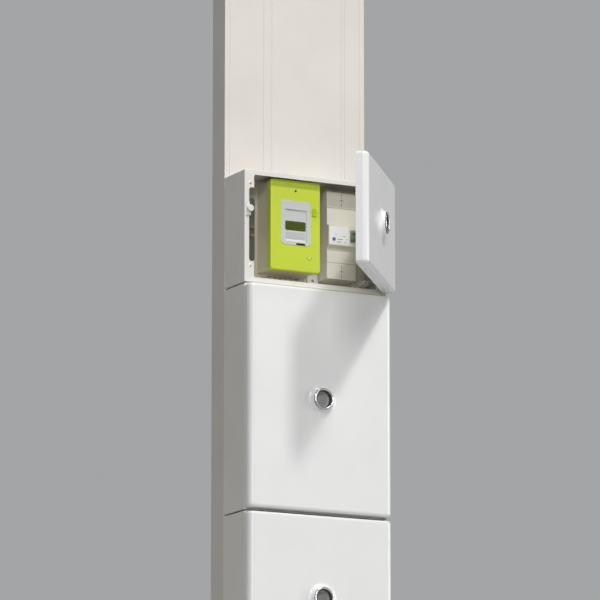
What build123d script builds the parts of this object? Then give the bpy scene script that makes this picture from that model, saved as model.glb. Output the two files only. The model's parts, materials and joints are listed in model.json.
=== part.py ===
from build123d import *
import math
import os

# A wall column for a home's electrical intake: a cable trunking that carries three cabinets.
# Millimetres. X to the right, Y towards the wall, Z up. The wall is the plane Y = 0, and "out" is the
# distance in front of it. The origin is the centre of the four wall screws.

# Column
column_width = 348.0
upper_stretch_height = 470.0
lower_stretch_height = 90.0
meter_cabinet_height = 250.0
board_cabinet_height = 495.0
lower_cabinet_height = 365.0
cabinet_gap = 3.0

# Trunking
trunk_depth = 60.0
trunk_wall = 2.0
flange_width = 12.0
cover_leg_depth = 8.0
cover_leg_wall = 1.5
cover_barb = 0.8
cover_barb_height = 1.5
cover_play = 0.3
cover_end_play = 0.5
partition_left_inset = 96.0
partition_left_head = 20.0
partition_right_inset = 50.0
partition_right_head = 8.0
partition_foot = 22.0
partition_web = 1.6
wall_screw_spacing_x = 200.0
wall_screw_spacing_z = 1400.0
wall_screw_hole_radius = 2.75

# Cabinet housings
housing_depth = 98.0
housing_wall = 2.5
housing_back = 2.0
corner_radius = 3.0
edge_radius = 1.5
rim_side = 23.0
rim_end = 11.0
rim_thickness = 3.0
opening_radius = 4.0
seat_play = 0.3
small_radius = 2.0
knock_out_depth = 0.6
knock_out_length = 18.0
knock_out_height = 12.0
knock_out_drop = 14.0
knock_out_radius = 16.0
knock_out_rise = 22.0

# Doors and hinges
door_depth = 28.0
door_gap = 0.5
door_wall = 2.4
door_side_radius = 13.0
door_end_radius = 7.0
ear_thickness = 2.4
ear_play = 0.3
hinge_inset = 3.5
hinge_ahead = 4.5
hinge_clearance = 0.3
pin_radius = 2.0
pin_clearance = 0.05
pin_short = 0.2
liner_wall = 1.4
liner_play = 0.3
liner_edge_radius = 8.0
liner_end_radius = 4.0
liner_set_back = 1.5
meter_door_open = 51.6

# Ring handles
boss_radius = 38.0
boss_height = 10.0
ring_radius = 24.0
ring_proud = 3.0
ring_rounding = 1.5
cup_radius = 20.2
cup_wall = 1.5
cup_depth = 16.0
cup_play = 0.2

# Meter cabinet: rim notch, boards, small parts
notch_depth = 12.0
notch_top = 40.0
notch_rise = 46.0
notch_radius = 6.0
rim_screw_inset = 13.5
rim_screw_top = 30.0
rim_screw_low = 36.0
rim_screw_radius = 3.5
rim_screw_head = 1.2
rim_screw_length = 12.0
rim_post_radius = 4.5
board_height_out = 16.0
board_wall = 2.0
board_split = 47.5
board_play = 0.5
vent_columns = 6
vent_rows = 3
vent_pitch_x = 13.2
vent_pitch_z = 5.0
vent_width = 9.0
vent_height = 2.6
vent_left = -76.0
vent_rise = 41.0
clip_play = 0.5
clip_height = 38.0
clip_thickness = 8.0
clip_rise = 14.0
peg_radius = 7.5
peg_length = 9.0
peg_plate_width = 8.0
peg_plate_height = 30.0
peg_plate_thickness = 3.0
peg_inset = 11.3
peg_plate_inset = 3.0
peg_hook_width = 5.0
peg_hook_length = 8.0
peg_drop = 88.0
strike_height = 44.0
earth_width = 14.0
earth_rise = 50.0
earth_thickness = 3.0
earth_out = 140.0
earth_inset = 18.0
earth_drop = 60.0
earth_leg_height = 10.0
earth_leg_end = 12.0
earth_screw_radius = 4.0
earth_screw_head = 3.0
earth_slot_width = 1.0
earth_slot_depth = 1.0
earth_end_radius = 6.4
earth_screw_drops = (65.0, 84.0)
blank_plate_left = 121.0
blank_plate_depth = 20.0
blank_plate_drop = 30.0
blank_plate_rise = 26.0
blank_plate_wall = 2.0

# Meter
meter_left = -104.0
meter_width = 122.0
meter_drop = 10.5
meter_height = 203.0
meter_depth = 70.0
meter_corner_radius = 7.0
cover_return = 17.0
cover_wall = 2.5
cover_overhang = 2.5
cover_edge_radius = 2.5
eye_size = 5.0
eye_drop = 24.0
bezel_width = 73.0
bezel_height = 99.0
bezel_drop = 46.0
bezel_radius = 8.0
bezel_proud = 1.0
bezel_rounding = 0.8
bezel_thickness = 7.0
recess_width = 53.0
recess_height = 73.0
recess_drop = 20.0
recess_radius = 2.0
recess_depth = 2.0
display_width = 50.0
display_height = 20.0
display_drop = 46.0
display_depth = 1.5
meter_button_width = 11.0
meter_button_height = 18.0
meter_button_drop = 68.0
meter_button_inset = 15.0
meter_button_proud = 1.5
meter_button_travel = 1.2
meter_screw_radius = 4.2
meter_screw_drop = 171.0
meter_screw_inset = 28.0
meter_cross_length = 5.9
meter_cross_width = 1.2

# Main breaker
breaker_left = 45.0
breaker_width = 72.0
breaker_depth = 50.0
breaker_drop = 21.0
terminal_cover_height = 37.0
upper_block_height = 39.0
label_height = 45.0
label_proud = 8.0
label_slope = 6.0
lower_block_height = 32.0
breaker_seam = 0.6
terminal_cover_wall = 2.0
terminal_seat_depth = 6.0
main_lever_width = 12.0
main_lever_inset = 12.0
main_drum_radius = 14.0
main_drum_behind = 6.0
main_stub_length = 6.0
main_stub_thickness = 6.0
stub_round_share = 0.4
main_lever_lean = 25.0
drum_play = 0.3
axle_radius = 2.0
axle_length = 2.0
axle_clearance = 0.05
test_radius = 3.2
test_proud = 1.5
test_travel = 1.2
test_pocket = 6.0
test_play = 0.3
main_test_left = 13.0
main_test_drop = 32.0
seal_radius = 2.2
seal_head = 0.8
button_rounding = 0.5
terminal_cover_chamfer = 0.8

# Distribution cabinet
modules_in_row = 18
row_side_margin = 16.5
row_end_margin = 22.5
breakers_in_row = 10
switch_modules = 2
row_count = 3
device_height = 85.0
device_shoulder = 44.0
device_collar = 60.0
collar_height = 45.0
window_play = 0.5
device_play = 0.1
plate_thickness = 2.5
plate_play = 0.2
collar_proud = 4.0
rail_height = 35.0
rail_depth = 7.5
rail_sheet = 1.0
rail_crown = 25.0
rail_side_margin = 11.5
pillar_width = 12.0
pillar_height = 24.0
pillar_inset = 24.0
plate_post_radius = 4.5
plate_post_inset = 12.0
cable_slot_side_margin = 74.0
cable_slot_height = 45.0
cable_slot_radius = 8.0
blank_thickness = 2.0
blank_overlap = 1.5
toggle_width = 7.0
toggle_length = 7.0
toggle_thickness = 5.0
toggle_rise = 4.0
toggle_root = 1.0
switch_lever_width = 11.0
switch_drum_radius = 8.0
switch_drum_behind = 4.0
switch_stub_length = 5.0
switch_stub_thickness = 4.0
switch_lever_lean = 30.0
switch_test_drop = 8.0
switch_lever_share = 0.7
switch_test_share = 0.3

# Worked-out places
half_width = column_width / 2
cabinets_height = meter_cabinet_height + board_cabinet_height + lower_cabinet_height + 2 * cabinet_gap
column_height = upper_stretch_height + cabinets_height + lower_stretch_height
column_top = column_height / 2
column_bottom = -column_height / 2
meter_top = column_top - upper_stretch_height
board_top = meter_top - meter_cabinet_height - cabinet_gap
lower_top = board_top - board_cabinet_height - cabinet_gap
lower_bottom = lower_top - lower_cabinet_height
frame_out = trunk_depth + housing_depth
door_front = frame_out + door_depth
door_margin = ear_thickness + ear_play
inner_half_width = half_width - housing_wall
board_out = trunk_depth + board_height_out
hinge_x = half_width - hinge_inset
module_width = (column_width - 2 * row_side_margin) / modules_in_row
row_pitch = (board_cabinet_height - 2 * row_end_margin) / row_count
rail_half_length = half_width - rail_side_margin
pillar_place = half_width - pillar_inset
cable_slot_width = column_width - 2 * cable_slot_side_margin
hinge_out = frame_out + hinge_ahead
meter_right = meter_left + meter_width
quarter_arc_middle = math.sqrt(0.5)


def slab(sketch, out_back, out_front):
    """Pull a front-view sketch (X, Z) from one distance in front of the wall to another."""
    return extrude(Plane.XZ.offset(out_back) * sketch, amount=out_front - out_back)


def panel(x_low, x_high, z_low, z_high, out_back, out_front, radius=0.0):
    """A flat piece seen from the front as a rectangle, with round corners if a radius is given."""
    width = x_high - x_low
    height = z_high - z_low
    outline = RectangleRounded(width, height, radius) if radius > 0 else Rectangle(width, height)
    return slab(Pos((x_low + x_high) / 2, (z_low + z_high) / 2) * outline, out_back, out_front)


def post(x, z, radius, out_back, out_front):
    """A round post or bore that runs straight out from the wall."""
    return slab(Pos(x, z) * Circle(radius), out_back, out_front)


def across(sketch, x_low, x_high):
    """Pull a side-view sketch (out, Z) across the column, from one X to another."""
    side = Plane(origin=(x_low, 0, 0), x_dir=(0, -1, 0), z_dir=(-1, 0, 0))
    return extrude(side * sketch, amount=x_low - x_high)


def turned(profile, x, z):
    """Turn a profile drawn as (radius, out) about a line that runs straight out at X, Z."""
    half_plane = Plane(origin=(x, 0, z), x_dir=(1, 0, 0), z_dir=(0, 0, 1))
    flipped = mirror(half_plane * profile, Plane(origin=(x, 0, z), z_dir=(0, 1, 0)))
    return revolve(flipped, Axis((x, 0, z), (0, -1, 0)), 360)


def write(name, shape):
    """Write one sub-part to its own file."""
    shape.label = name
    export_step(shape, os.path.join("parts", name + ".step"))


def group(pieces):
    """Like pieces that share one file as separate solids."""
    return Compound(children=pieces)


# Trunking: an extruded C, two partitions and clipped covers


def duct_cover(x_low, x_high, z_low, z_high):
    """A flat cover with two legs, whose barbs hook behind the edges on either side of it."""
    shoulder = trunk_depth - trunk_wall
    cover = panel(x_low, x_high, z_low, z_high, shoulder, trunk_depth)
    for edge, inward in ((x_low, 1), (x_high, -1)):
        leg_side = edge + inward * cover_leg_wall
        barb_side = edge - inward * (cover_play + cover_barb)
        cover += panel(min(edge, leg_side), max(edge, leg_side), z_low, z_high,
                       trunk_depth - cover_leg_depth, shoulder)
        cover += panel(min(edge, barb_side), max(edge, barb_side), z_low, z_high,
                       shoulder - cover_barb_height, shoulder)
    return cover


def partition(head_left, head_width):
    """A partition: a foot on the trunking's back, a web, and a head strip between two covers."""
    z_low, z_high = column_bottom, column_top
    middle = head_left + head_width / 2
    shoulder = trunk_depth - trunk_wall
    foot = panel(middle - partition_foot / 2, middle + partition_foot / 2, z_low, z_high,
                 trunk_wall, trunk_wall + partition_web)
    web = panel(middle - partition_web / 2, middle + partition_web / 2, z_low, z_high, trunk_wall, shoulder)
    head = panel(head_left, head_left + head_width, z_low, z_high, shoulder, trunk_depth)
    return foot + web + head


def trunking_base():
    """The C-shaped extrusion, with the four wall-screw holes in its back."""
    z_low, z_high = column_bottom, column_top
    base = panel(-half_width, half_width, z_low, z_high, 0, trunk_wall)
    for side in (-1, 1):
        outer = side * half_width
        wall_inner = side * (half_width - trunk_wall)
        flange_inner = side * (half_width - flange_width)
        base += panel(min(outer, wall_inner), max(outer, wall_inner), z_low, z_high, 0, trunk_depth)
        base += panel(min(outer, flange_inner), max(outer, flange_inner), z_low, z_high,
                      trunk_depth - trunk_wall, trunk_depth)
    for side_x in (-1, 1):
        for side_z in (-1, 1):
            base -= post(side_x * wall_screw_spacing_x / 2, side_z * wall_screw_spacing_z / 2,
                         wall_screw_hole_radius, 0, trunk_wall)
    return base


left_head_low = -half_width + partition_left_inset
left_head_high = left_head_low + partition_left_head
right_head_high = half_width - partition_right_inset
right_head_low = right_head_high - partition_right_head
cover_spans = {
    "left": (-half_width + flange_width, left_head_low),
    "centre": (left_head_high, right_head_low),
    "right": (right_head_high, half_width - flange_width),
}


def covers_between(z_low, z_high):
    """The three covers of one stretch of the trunking, by name."""
    covers = {}
    for name, (span_low, span_high) in cover_spans.items():
        covers[name] = duct_cover(span_low + cover_play, span_high - cover_play, z_low, z_high)
    return covers


# Doors: a moulded skin with pivot pins, a liner inside it, and a ring handle


def hinge_ears(z_low, z_high):
    """Two ears in line with the housing's top and bottom walls, bored for the door's pins."""
    ears = None
    for ear_low in (z_low, z_high - ear_thickness):
        ear = Pos(hinge_x, -hinge_out, ear_low) * Cylinder(
            hinge_inset, ear_thickness, align=(Align.CENTER, Align.CENTER, Align.MIN))
        ear += panel(hinge_x - hinge_inset, half_width, ear_low, ear_low + ear_thickness,
                     frame_out - rim_thickness, hinge_out)
        ear -= Pos(hinge_x, -hinge_out, ear_low) * Cylinder(
            pin_radius, ear_thickness, align=(Align.CENTER, Align.CENTER, Align.MIN))
        ears = ear if ears is None else ears + ear
    return ears


def boss_outside(x, z):
    """The flared boss that carries the ring: its flank is a hollow arc."""
    spread = boss_radius - ring_radius
    foot = (boss_radius, door_front)
    top = (ring_radius, door_front + boss_height)
    middle = (boss_radius - spread * quarter_arc_middle, door_front + boss_height * (1 - quarter_arc_middle))
    flank = ThreePointArc(foot, middle, top)
    rest = Polyline(top, (0, door_front + boss_height), (0, door_front - door_wall),
                    (boss_radius, door_front - door_wall), foot)
    return turned(make_face([flank, rest]), x, z)


def boss_inside(x, z):
    """The hollow behind the boss, one wall thinner all over."""
    spread = boss_radius - ring_radius
    foot = (boss_radius - door_wall, door_front - door_wall)
    top = (ring_radius - door_wall / 2, door_front + boss_height - door_wall)
    middle = (boss_radius - door_wall - spread * quarter_arc_middle,
              door_front - door_wall + boss_height * (1 - quarter_arc_middle))
    flank = ThreePointArc(foot, middle, top)
    behind = door_front - 2 * door_wall
    rest = Polyline(top, (0, door_front + boss_height - door_wall), (0, behind),
                    (boss_radius - door_wall, behind), foot)
    return turned(make_face([flank, rest]), x, z)


def soft_tray(x_low, x_high, z_low, z_high, out_back, out_front, side_radius, end_radius):
    """A panel whose front is rounded along both sides, and less along its top and bottom."""
    tray = panel(x_low, x_high, z_low, z_high, out_back, out_front)
    tray = fillet(tray.edges().filter_by(Axis.Z).group_by(Axis.Y)[0], side_radius)
    return fillet(tray.faces().sort_by(Axis.Y)[0].edges().filter_by(Axis.X), end_radius)


def door_skin(z_low, z_high):
    """A door closed on its cabinet, between two ears: a tray with soft sides and a flared boss."""
    low, high = z_low + door_margin, z_high - door_margin
    back = frame_out + door_gap
    skin = soft_tray(-half_width, half_width, low, high, back, door_front, door_side_radius, door_end_radius)
    hollow = soft_tray(-half_width + door_wall, half_width - door_wall, low + door_wall, high - door_wall,
                       frame_out, door_front - door_wall, door_side_radius - door_wall,
                       door_end_radius - door_wall)
    middle = (low + high) / 2
    skin = skin - hollow + boss_outside(0, middle) - boss_inside(0, middle)
    skin -= post(0, middle, cup_radius + cup_play, frame_out, door_front + boss_height)
    skin -= hinge_corner(low, high)
    pin_reach = ear_thickness + ear_play - pin_short
    for pin_low in (low - pin_reach, high - door_wall):
        skin += Pos(hinge_x, -hinge_out, pin_low) * Cylinder(
            pin_radius - pin_clearance, pin_reach + door_wall, align=(Align.CENTER, Align.CENTER, Align.MIN))
    return skin


def hinge_corner(low, high):
    """What the back corner at the hinge loses, so that it turns clear of the cabinet."""
    size = hinge_inset + hinge_ahead
    height = high - low
    corner = Pos(hinge_x + size / 2, -hinge_out + size / 2, (low + high) / 2) * Box(size, size, height)
    kept = Pos(hinge_x, -hinge_out, (low + high) / 2) * Cylinder(hinge_ahead - hinge_clearance, height)
    return corner - kept


def door_liner(z_low, z_high, catch_z):
    """The inner pan that closes the skin's hollow and lies on the cup, cut away beside the catch."""
    play = door_wall + liner_play
    low, high = z_low + door_margin + play, z_high - door_margin - play
    side = half_width - play
    back = frame_out + door_gap + liner_set_back
    front = door_front + boss_height + ring_proud - cup_depth - cup_wall
    pan = soft_tray(-side, side, low, high, back, front, liner_edge_radius, liner_end_radius)
    inside = soft_tray(-side + liner_wall, side - liner_wall, low + liner_wall, high - liner_wall,
                       frame_out, front - liner_wall, liner_edge_radius - liner_wall,
                       liner_end_radius - liner_wall)
    strike = panel(-side, liner_wall - side, catch_z - strike_height / 2, catch_z + strike_height / 2,
                   frame_out, frame_out + peg_length + 2 * liner_play)
    return pan - inside - strike


def ring_handle(z_low, z_high):
    """A turned ring on the boss, with the finger cup in one piece with it."""
    middle = (z_low + z_high) / 2
    land = door_front + boss_height
    rim = land + ring_proud
    inner = cup_radius - cup_wall
    floor = rim - cup_depth
    outer_round = RadiusArc((ring_radius, rim - ring_rounding), (ring_radius - ring_rounding, rim),
                            -ring_rounding)
    inner_round = RadiusArc((inner + ring_rounding, rim), (inner, rim - ring_rounding), -ring_rounding)
    start = Polyline((0, floor - cup_wall), (cup_radius, floor - cup_wall), (cup_radius, land),
                     (ring_radius, land), (ring_radius, rim - ring_rounding))
    flat = Line((ring_radius - ring_rounding, rim), (inner + ring_rounding, rim))
    end = Polyline((inner, rim - ring_rounding), (inner, floor), (0, floor), (0, floor - cup_wall))
    return turned(make_face([start, outer_round, flat, inner_round, end]), 0, middle)


def opened(shape):
    """A closed door's piece, turned about its hinge line to where the open door stands."""
    hinge_line = Axis((hinge_x, -hinge_out, 0), (0, 0, 1))
    return shape.rotate(hinge_line, meter_door_open)


def catch_peg(z):
    """A catch on the left rim: a small plate that carries a round peg with a hook below it."""
    x = -half_width + peg_inset
    plate_left = -half_width + peg_plate_inset
    plate = panel(plate_left, plate_left + peg_plate_width, z - peg_plate_height / 2,
                  z + peg_plate_height / 2, frame_out, frame_out + peg_plate_thickness, small_radius)
    peg = post(x, z, peg_radius, frame_out, frame_out + peg_length)
    peg = fillet(peg.faces().sort_by(Axis.Y)[0].edges(), peg_plate_thickness / 2)
    hook = panel(x - peg_hook_width / 2, x + peg_hook_width / 2, z - peg_radius - peg_hook_length, z,
                 frame_out, frame_out + peg_plate_thickness)
    return plate + peg + hook


# Toggles: a drum on moulded axle stubs, with a stub to push


def toggle(x, out, z, width, drum_radius, stub_length, stub_thickness, lean):
    """A toggle that leans up by the given angle; its drum turns about a line across the column."""
    drum = Circle(drum_radius)
    stub = Pos(drum_radius / 2 + stub_length / 2, 0) * RectangleRounded(
        drum_radius + stub_length, stub_thickness, stub_thickness * stub_round_share)
    profile = Pos(out, z) * Rot(0, 0, lean) * (drum + stub)
    body = across(profile, x - width / 2, x + width / 2)
    axle_reach = width / 2 + axle_length
    axle = across(Pos(out, z) * Circle(axle_radius), x - axle_reach, x + axle_reach)
    return body + axle


def toggle_pocket(x, out, z, width, drum_radius):
    """What a toggle needs cut from its carrier: the drum's pocket and the two axle bores."""
    pocket_half = width / 2 + drum_play
    pocket = across(Pos(out, z) * Circle(drum_radius + drum_play), x - pocket_half, x + pocket_half)
    reach = width / 2 + axle_length + drum_play
    bore = across(Pos(out, z) * Circle(axle_radius + axle_clearance), x - reach, x + reach)
    return pocket + bore


os.makedirs("parts", exist_ok=True)

# Trunking
write("trunking_base", trunking_base())
write("partition_left", partition(left_head_low, partition_left_head))
write("partition_right", partition(right_head_low, partition_right_head))
for cover_name, cover in covers_between(meter_top + cover_end_play, column_top).items():
    write("upper_cover_" + cover_name, cover)
write("lower_covers", group(list(covers_between(column_bottom, lower_bottom - cover_end_play).values())))

# Meter cabinet: surround, boards and small parts
meter_bottom = meter_top - meter_cabinet_height
rim_screw_x = half_width - rim_screw_inset
rim_screw_heights = (meter_top - rim_screw_top, meter_bottom + rim_screw_low)
rim_screw_places = [(side * rim_screw_x, z) for side in (-1, 1) for z in rim_screw_heights]
opening_half = half_width - rim_side

surround = panel(-half_width, half_width, meter_bottom, meter_top, trunk_depth, frame_out, corner_radius)
surround = fillet(surround.faces().sort_by(Axis.Y)[0].edges(), edge_radius)
surround -= panel(-inner_half_width, inner_half_width, meter_bottom + housing_wall,
                  meter_top - housing_wall, trunk_depth, frame_out - rim_thickness)
surround -= panel(-opening_half, opening_half, meter_bottom + rim_end, meter_top - rim_end,
                  frame_out - rim_thickness, frame_out, opening_radius)
notch = panel(-opening_half - notch_depth, -opening_half + notch_radius, meter_bottom + notch_rise,
              meter_top - notch_top, frame_out - rim_thickness, frame_out, notch_radius)
surround -= notch
for screw_x, screw_z in rim_screw_places:
    surround -= post(screw_x, screw_z, rim_screw_radius / 2, frame_out - rim_thickness, frame_out)
knock_outs = Plane(origin=(-half_width, -trunk_depth, meter_top), x_dir=(0, -1, 0), z_dir=(-1, 0, 0))
upper_mark = Pos(knock_out_length / 2, -knock_out_drop) * Rectangle(knock_out_length, knock_out_height)
lower_mark = Pos(0, knock_out_rise - meter_cabinet_height) * Circle(knock_out_radius)
surround -= extrude(knock_outs * (upper_mark + lower_mark), amount=-knock_out_depth)
write("meter_surround", surround + hinge_ears(meter_bottom, meter_top))

board_low = meter_bottom + housing_wall + seat_play
board_high = meter_top - housing_wall - seat_play


def board(x_low, x_high, post_x):
    """A mounting board: a shallow pan on the trunking, with two posts for the surround's screws."""
    shell = panel(x_low, x_high, board_low, board_high, trunk_depth, board_out)
    shell -= panel(x_low + board_wall, x_high - board_wall, board_low + board_wall,
                   board_high - board_wall, trunk_depth, board_out - board_wall)
    for post_z in rim_screw_heights:
        shell += post(post_x, post_z, rim_post_radius, board_out - board_wall, frame_out - rim_thickness)
        shell -= post(post_x, post_z, rim_screw_radius / 2, board_out, frame_out - rim_thickness)
    return shell


board_side = inner_half_width - seat_play
meter_board = board(-board_side, board_split - board_play / 2, -rim_screw_x)
for column in range(vent_columns):
    for row in range(vent_rows):
        slot_x = vent_left + column * vent_pitch_x
        slot_z = meter_bottom + vent_rise - row * vent_pitch_z
        meter_board -= panel(slot_x, slot_x + vent_width, slot_z - vent_height, slot_z,
                             trunk_depth, board_out)
write("meter_board", meter_board)
write("breaker_board", board(board_split + board_play / 2, board_side, rim_screw_x))

screw_heads = []
for screw_x, screw_z in rim_screw_places:
    head = post(screw_x, screw_z, rim_screw_radius, frame_out, frame_out + rim_screw_head)
    shank = post(screw_x, screw_z, rim_screw_radius / 2, frame_out - rim_screw_length, frame_out)
    screw_heads.append(head + shank)
write("surround_screws", group(screw_heads))

clip_left = meter_right + clip_play
clip_right = breaker_left - clip_play
clip_high = meter_bottom + clip_rise + clip_height
clip = panel(clip_left, clip_right, clip_high - clip_height, clip_high, board_out,
             board_out + clip_thickness, small_radius)
clip -= post((clip_left + clip_right) / 2, clip_high - clip_height / 2, rim_screw_radius,
             board_out + clip_thickness / 2, board_out + clip_thickness)
write("board_clip", clip)
write("catch_peg", catch_peg(meter_top - peg_drop))

earth_high = meter_top - earth_drop
earth_low = meter_bottom + earth_rise
earth_left = -half_width + earth_inset
earth_middle = earth_left + earth_width / 2
earth_bar = panel(earth_left, earth_left + earth_width, earth_low, earth_high, earth_out,
                  earth_out + earth_thickness, earth_end_radius)
for leg_middle in (earth_low + earth_leg_end, earth_high - earth_leg_end):
    earth_bar += panel(-inner_half_width, earth_middle, leg_middle - earth_leg_height / 2,
                       leg_middle + earth_leg_height / 2, earth_out, earth_out + earth_thickness)
write("earth_bar", earth_bar)
earth_screws = []
for drop in earth_screw_drops:
    earth_front = earth_out + earth_thickness
    screw = post(earth_middle, earth_high - drop, earth_screw_radius, earth_front,
                 earth_front + earth_screw_head)
    slot = panel(earth_middle - earth_screw_radius, earth_middle + earth_screw_radius,
                 earth_high - drop - earth_slot_width / 2, earth_high - drop + earth_slot_width / 2,
                 earth_front + earth_screw_head - earth_slot_depth, earth_front + earth_screw_head)
    earth_screws.append(screw - slot)
write("earth_screws", group(earth_screws))

blank_high = meter_top - blank_plate_drop
blank_low = meter_bottom + blank_plate_rise
blank_right = rim_screw_x - rim_post_radius - seat_play
blank_plate = panel(blank_plate_left, blank_right, blank_low, blank_high, board_out,
                    board_out + blank_plate_depth, small_radius)
blank_plate -= panel(blank_plate_left + blank_plate_wall, blank_right - blank_plate_wall,
                     blank_low + blank_plate_wall, blank_high - blank_plate_wall, board_out,
                     board_out + blank_plate_depth - blank_plate_wall)
write("blank_plate", blank_plate)

# Meter: body, cover, bezel, display, button and screw
meter_high = meter_top - meter_drop
meter_low = meter_high - meter_height
meter_front = board_out + meter_depth
cover_back = meter_front - cover_return
cover_inside = meter_front - cover_wall
bezel_middle = (meter_left + meter_right) / 2
bezel_high = meter_high - bezel_drop
bezel_low = bezel_high - bezel_height
bezel_front = meter_front + bezel_proud
bezel_back = bezel_front - bezel_thickness
button_x = meter_right - meter_button_inset
button_z = meter_high - meter_button_drop
button_back = cover_inside - meter_button_travel - test_play
meter_screw_x = meter_right - meter_screw_inset
meter_screw_z = meter_high - meter_screw_drop

body = panel(meter_left + cover_overhang, meter_right - cover_overhang, meter_low + cover_overhang,
             meter_high - cover_overhang, board_out, cover_inside, meter_corner_radius - cover_overhang)
body -= panel(bezel_middle - bezel_width / 2, bezel_middle + bezel_width / 2, bezel_low, bezel_high,
              bezel_back, cover_inside, bezel_radius)
body -= panel(button_x - meter_button_width / 2 - test_play, button_x + meter_button_width / 2 + test_play,
              button_z - meter_button_height / 2 - test_play,
              button_z + meter_button_height / 2 + test_play,
              button_back - 2 * test_play, cover_inside)
write("meter_body", body)

cover = panel(meter_left, meter_right, meter_low, meter_high, cover_back, meter_front,
              meter_corner_radius)
cover = fillet(cover.faces().sort_by(Axis.Y)[0].edges(), cover_edge_radius)
cover -= panel(meter_left + cover_overhang, meter_right - cover_overhang, meter_low + cover_overhang,
               meter_high - cover_overhang, cover_back, cover_inside,
               meter_corner_radius - cover_overhang)
cover -= panel(bezel_middle - bezel_width / 2, bezel_middle + bezel_width / 2, bezel_low, bezel_high,
               cover_inside, meter_front, bezel_radius)
cover -= panel(button_x - meter_button_width / 2 - test_play,
               button_x + meter_button_width / 2 + test_play,
               button_z - meter_button_height / 2 - test_play,
               button_z + meter_button_height / 2 + test_play, cover_inside, meter_front,
               small_radius + test_play)
cover -= panel(bezel_middle - eye_size / 2, bezel_middle + eye_size / 2, meter_high - eye_drop - eye_size / 2,
               meter_high - eye_drop + eye_size / 2, cover_inside, meter_front)
cover -= post(meter_screw_x, meter_screw_z, meter_screw_radius / 2, cover_inside, meter_front)
write("meter_cover", cover)

recess_high = bezel_high - recess_drop
recess_low = recess_high - recess_height
display_high = bezel_high - display_drop
display_low = display_high - display_height
bezel = panel(bezel_middle - bezel_width / 2, bezel_middle + bezel_width / 2, bezel_low, bezel_high,
              bezel_back, bezel_front, bezel_radius)
bezel = fillet(bezel.faces().sort_by(Axis.Y)[0].edges(), bezel_rounding)
bezel -= panel(bezel_middle - recess_width / 2, bezel_middle + recess_width / 2, recess_low, recess_high,
               bezel_front - recess_depth, bezel_front, recess_radius)
display_floor = bezel_front - recess_depth - display_depth
display_space = panel(bezel_middle - display_width / 2, bezel_middle + display_width / 2, display_low,
                      display_high, display_floor, bezel_front - recess_depth)
write("meter_bezel", bezel - display_space)
write("meter_display", display_space)

meter_button = panel(button_x - meter_button_width / 2, button_x + meter_button_width / 2,
                     button_z - meter_button_height / 2, button_z + meter_button_height / 2,
                     cover_inside, meter_front + meter_button_proud, small_radius)
write("meter_button", fillet(meter_button.faces().sort_by(Axis.Y)[0].edges(), button_rounding))

meter_screw = post(meter_screw_x, meter_screw_z, meter_screw_radius, meter_front, meter_front + seal_head)
meter_screw += post(meter_screw_x, meter_screw_z, meter_screw_radius / 2, cover_inside, meter_front)
for arm_x, arm_z in ((meter_cross_length, meter_cross_width), (meter_cross_width, meter_cross_length)):
    meter_screw -= panel(meter_screw_x - arm_x / 2, meter_screw_x + arm_x / 2, meter_screw_z - arm_z / 2,
                         meter_screw_z + arm_z / 2, meter_front, meter_front + seal_head)
write("meter_cover_screw", meter_screw)

# Main breaker: a stepped body, two terminal covers, lever, test button and seal screws
breaker_right = breaker_left + breaker_width
breaker_high = meter_top - breaker_drop
breaker_front = board_out + breaker_depth
label_front = breaker_front + label_proud
upper_seam = breaker_high - terminal_cover_height
label_high = upper_seam - upper_block_height
label_low = label_high - label_height
slope_low = label_low - label_slope
lower_seam = slope_low - lower_block_height
breaker_low = lower_seam - terminal_cover_height
lever_x = breaker_right - main_lever_inset
lever_z = (label_high + label_low) / 2
lever_out = label_front - main_drum_behind
main_test_x = breaker_left + main_test_left
main_test_z = label_high - main_test_drop
seal_x = (breaker_left + breaker_right) / 2
cover_seat = breaker_front - terminal_seat_depth

breaker_body = panel(breaker_left, breaker_right, breaker_low, breaker_high, board_out, cover_seat)
breaker_body += panel(breaker_left, breaker_right, lower_seam, upper_seam, cover_seat, breaker_front)
label_side = Polyline((breaker_front, slope_low), (label_front, label_low), (label_front, label_high),
                      (breaker_front, label_high), close=True)
breaker_body += across(make_face(label_side), breaker_left, breaker_right)
breaker_body -= toggle_pocket(lever_x, lever_out, lever_z, main_lever_width, main_drum_radius)
breaker_body -= post(main_test_x, main_test_z, test_radius + test_play, label_front - test_pocket,
                     label_front)
write("breaker_body", breaker_body)
write("breaker_lever", toggle(lever_x, lever_out, lever_z, main_lever_width, main_drum_radius,
                              main_stub_length, main_stub_thickness, main_lever_lean))
test_length = test_pocket - test_travel - test_play
main_test = post(main_test_x, main_test_z, test_radius, label_front - test_length,
                 label_front + test_proud)
write("breaker_test_button", fillet(main_test.faces().sort_by(Axis.Y)[0].edges(), button_rounding))

seal_screws = []
for cover_node, low, high in (("breaker_upper_cover", upper_seam + breaker_seam, breaker_high),
                              ("breaker_lower_cover", breaker_low, lower_seam - breaker_seam)):
    terminal_cover = panel(breaker_left, breaker_right, low, high, cover_seat, breaker_front)
    terminal_cover = chamfer(terminal_cover.faces().sort_by(Axis.Y)[0].edges(), terminal_cover_chamfer)
    seal_z = (low + high) / 2
    terminal_cover -= post(seal_x, seal_z, seal_radius, breaker_front - terminal_cover_wall, breaker_front)
    write(cover_node, terminal_cover)
    seal_screws.append(post(seal_x, seal_z, seal_radius, breaker_front - terminal_cover_wall,
                            breaker_front + seal_head))
write("breaker_seal_screws", group(seal_screws))

# Meter door, standing open
write("meter_door", opened(door_skin(meter_bottom, meter_top)))
write("meter_door_liner", opened(door_liner(meter_bottom, meter_top, meter_top - peg_drop)))
write("meter_door_handle", opened(ring_handle(meter_bottom, meter_top)))


# Closed cabinets: a housing, its front plate and its door
plate_back = frame_out - plate_thickness
rail_front = frame_out + collar_proud - device_collar
rail_back = rail_front - rail_depth
row_length = modules_in_row * module_width
row_left = -row_length / 2


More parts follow.
